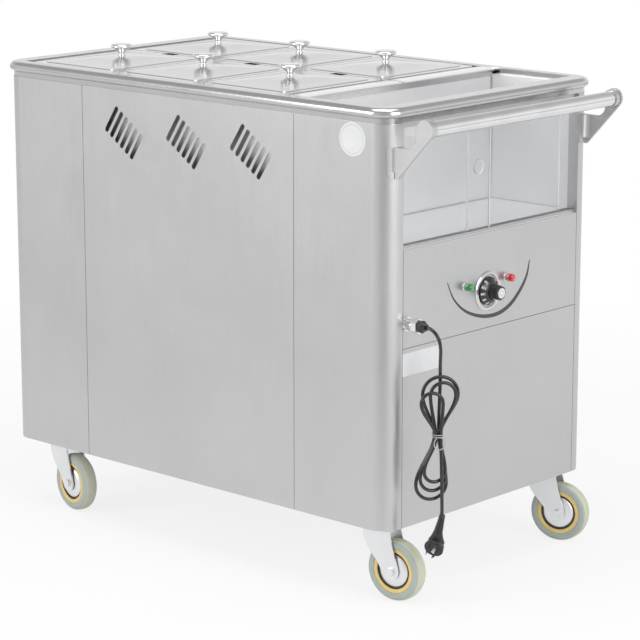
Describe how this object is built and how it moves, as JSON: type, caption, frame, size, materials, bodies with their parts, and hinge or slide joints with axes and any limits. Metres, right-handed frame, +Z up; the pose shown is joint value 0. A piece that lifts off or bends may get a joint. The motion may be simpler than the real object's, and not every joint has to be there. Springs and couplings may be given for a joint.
{
  "type": "hostess trolley",
  "caption": "Stainless hot-food trolley: lidded pans in a heated water tank, an open storage well with sliding clear doors, a push handle and swivel casters.",
  "frame": {"origin": "centre of the whole trolley's box, on the floor under the wheels", "axes": "+X towards the push handle along the trolley, +Y across it away from the side that carries the cord gland, +Z up"},
  "size_m": [1.2133, 0.666, 1.0323],
  "materials": {
    "brushed_panel": "fine vertical brushed satin",
    "satin_rim": "bright satin",
    "deck_steel": "satin",
    "liner_steel": "satin",
    "pan_steel": "smooth satin",
    "lid_steel": "polished pressing",
    "polished_bar": "mirror polish",
    "cast_bracket": "polished with soft edges",
    "zinc_sheet": "plain zinc-coated sheet",
    "zinc_fork": "bright zinc plate",
    "heater_sheath": "heat-darkened sheath",
    "thermostat_body": "plain cream housing",
    "terminal_plastic": "moulded",
    "clear_acrylic": "clear sheet, polished faces",
    "black_phenolic": "moulded, semi-gloss",
    "green_lens": "moulded clear tinted lens",
    "red_lens": "moulded clear tinted lens",
    "cord_rubber": "matt round mains cord",
    "plug_plastic": "moulded plug",
    "tie_plastic": "wire tie",
    "hub_plastic": "two-tone moulded wheel centre",
    "tyre_rubber": "grey-green non-marking rubber"
  },
  "bodies": {
    "cabinet": {"base_tray": "zinc_sheet", "caster_rails": "zinc_sheet", "corner_panels_handle_end": "brushed_panel", "corner_panels_plain_end": "brushed_panel", "front_vent_panel": "brushed_panel", "back_vent_panel": "brushed_panel", "plain_end_panel": "brushed_panel", "control_panel": "brushed_panel", "lower_end_panel": "brushed_panel", "storage_liner": "liner_steel", "door_track_top": "liner_steel", "door_track_bottom": "liner_steel", "top_rim": "satin_rim", "deck_sheet": "deck_steel", "divider_bars": "polished_bar", "water_tank": "deck_steel", "heating_elements": "heater_sheath", "thermostat": "thermostat_body", "terminal_block": "terminal_plastic", "handle_bar": "polished_bar", "handle_brackets": "cast_bracket", "dial_bezel": "polished_bar", "lamp_green": "green_lens", "lamp_red": "red_lens", "cable_gland": "zinc_sheet", "gland_nut": "black_phenolic", "cord_upper": "cord_rubber", "cord_hank": "cord_rubber", "cord_tie": "tie_plastic", "plug": "plug_plastic", "caster_plates": "zinc_fork"},
    "left_door": {"door_left": "clear_acrylic"},
    "right_door": {"door_right": "clear_acrylic"},
    "dial": {"dial_knob": "black_phenolic", "dial_shaft": "zinc_sheet"},
    "food_pan_1": {"pan_1": "pan_steel"},
    "food_lid_1": {"lid_1": "lid_steel"},
    "food_pan_2": {"pan_2": "pan_steel"},
    "food_lid_2": {"lid_2": "lid_steel"},
    "food_pan_3": {"pan_3": "pan_steel"},
    "food_lid_3": {"lid_3": "lid_steel"},
    "food_pan_4": {"pan_4": "pan_steel"},
    "food_lid_4": {"lid_4": "lid_steel"},
    "food_pan_5": {"pan_5": "pan_steel"},
    "food_lid_5": {"lid_5": "lid_steel"},
    "food_pan_6": {"pan_6": "pan_steel"},
    "food_lid_6": {"lid_6": "lid_steel"},
    "swivel_1": {"fork_1": "zinc_fork"},
    "wheel_1": {"hub_1": "hub_plastic", "tyre_1": "tyre_rubber"},
    "swivel_2": {"fork_2": "zinc_fork"},
    "wheel_2": {"hub_2": "hub_plastic", "tyre_2": "tyre_rubber"},
    "swivel_3": {"fork_3": "zinc_fork"},
    "wheel_3": {"hub_3": "hub_plastic", "tyre_3": "tyre_rubber"},
    "swivel_4": {"fork_4": "zinc_fork"},
    "wheel_4": {"hub_4": "hub_plastic", "tyre_4": "tyre_rubber"}
  },
  "joints": [
    {"name": "left_door_slide", "type": "slide", "parent": "cabinet", "child": "left_door", "axis": [0, 1, 0], "range_m": [0, 0.27]},
    {"name": "right_door_slide", "type": "slide", "parent": "cabinet", "child": "right_door", "axis": [0, 1, 0], "range_m": [-0.213, 0.032]},
    {"name": "dial_turn", "type": "hinge", "parent": "cabinet", "child": "dial", "pos_m": [0.508, -0.0145, 0.596], "axis": [1, 0, 0], "range_deg": [-300, 0]},
    {"name": "pan_1_lift", "type": "slide", "parent": "cabinet", "child": "food_pan_1", "axis": [0, 0, 1], "range_m": [0, 0.2]},
    {"name": "lid_1_lift", "type": "slide", "parent": "food_pan_1", "child": "food_lid_1", "axis": [0, 0, 1], "range_m": [0, 0.15]},
    {"name": "pan_2_lift", "type": "slide", "parent": "cabinet", "child": "food_pan_2", "axis": [0, 0, 1], "range_m": [0, 0.2]},
    {"name": "lid_2_lift", "type": "slide", "parent": "food_pan_2", "child": "food_lid_2", "axis": [0, 0, 1], "range_m": [0, 0.15]},
    {"name": "pan_3_lift", "type": "slide", "parent": "cabinet", "child": "food_pan_3", "axis": [0, 0, 1], "range_m": [0, 0.2]},
    {"name": "lid_3_lift", "type": "slide", "parent": "food_pan_3", "child": "food_lid_3", "axis": [0, 0, 1], "range_m": [0, 0.15]},
    {"name": "pan_4_lift", "type": "slide", "parent": "cabinet", "child": "food_pan_4", "axis": [0, 0, 1], "range_m": [0, 0.2]},
    {"name": "lid_4_lift", "type": "slide", "parent": "food_pan_4", "child": "food_lid_4", "axis": [0, 0, 1], "range_m": [0, 0.15]},
    {"name": "pan_5_lift", "type": "slide", "parent": "cabinet", "child": "food_pan_5", "axis": [0, 0, 1], "range_m": [0, 0.2]},
    {"name": "lid_5_lift", "type": "slide", "parent": "food_pan_5", "child": "food_lid_5", "axis": [0, 0, 1], "range_m": [0, 0.15]},
    {"name": "pan_6_lift", "type": "slide", "parent": "cabinet", "child": "food_pan_6", "axis": [0, 0, 1], "range_m": [0, 0.2]},
    {"name": "lid_6_lift", "type": "slide", "parent": "food_pan_6", "child": "food_lid_6", "axis": [0, 0, 1], "range_m": [0, 0.15]},
    {"name": "caster_1_swivel", "type": "hinge", "parent": "cabinet", "child": "swivel_1", "pos_m": [0.446, -0.265, 0.15], "axis": [0, 0, 1], "continuous": true},
    {"name": "wheel_1_roll", "type": "hinge", "parent": "swivel_1", "child": "wheel_1", "pos_m": [0.48379, -0.26103, 0.0635], "axis": [-0.1045, 0.9945, 0], "continuous": true},
    {"name": "caster_2_swivel", "type": "hinge", "parent": "cabinet", "child": "swivel_2", "pos_m": [0.446, 0.265, 0.15], "axis": [0, 0, 1], "continuous": true},
    {"name": "wheel_2_roll", "type": "hinge", "parent": "swivel_2", "child": "wheel_2", "pos_m": [0.48224, 0.27643, 0.0635], "axis": [-0.3007, 0.9537, 0], "continuous": true},
    {"name": "caster_3_swivel", "type": "hinge", "parent": "cabinet", "child": "swivel_3", "pos_m": [-0.487, -0.265, 0.15], "axis": [0, 0, 1], "continuous": true},
    {"name": "wheel_3_roll", "type": "hinge", "parent": "swivel_3", "child": "wheel_3", "pos_m": [-0.44947, -0.27094, 0.0635], "axis": [0.1564, 0.9877, 0], "continuous": true},
    {"name": "caster_4_swivel", "type": "hinge", "parent": "cabinet", "child": "swivel_4", "pos_m": [-0.487, 0.265, 0.15], "axis": [0, 0, 1], "continuous": true},
    {"name": "wheel_4_roll", "type": "hinge", "parent": "swivel_4", "child": "wheel_4", "pos_m": [-0.44937, 0.27029, 0.0635], "axis": [-0.1392, 0.9903, 0], "continuous": true}
  ]
}
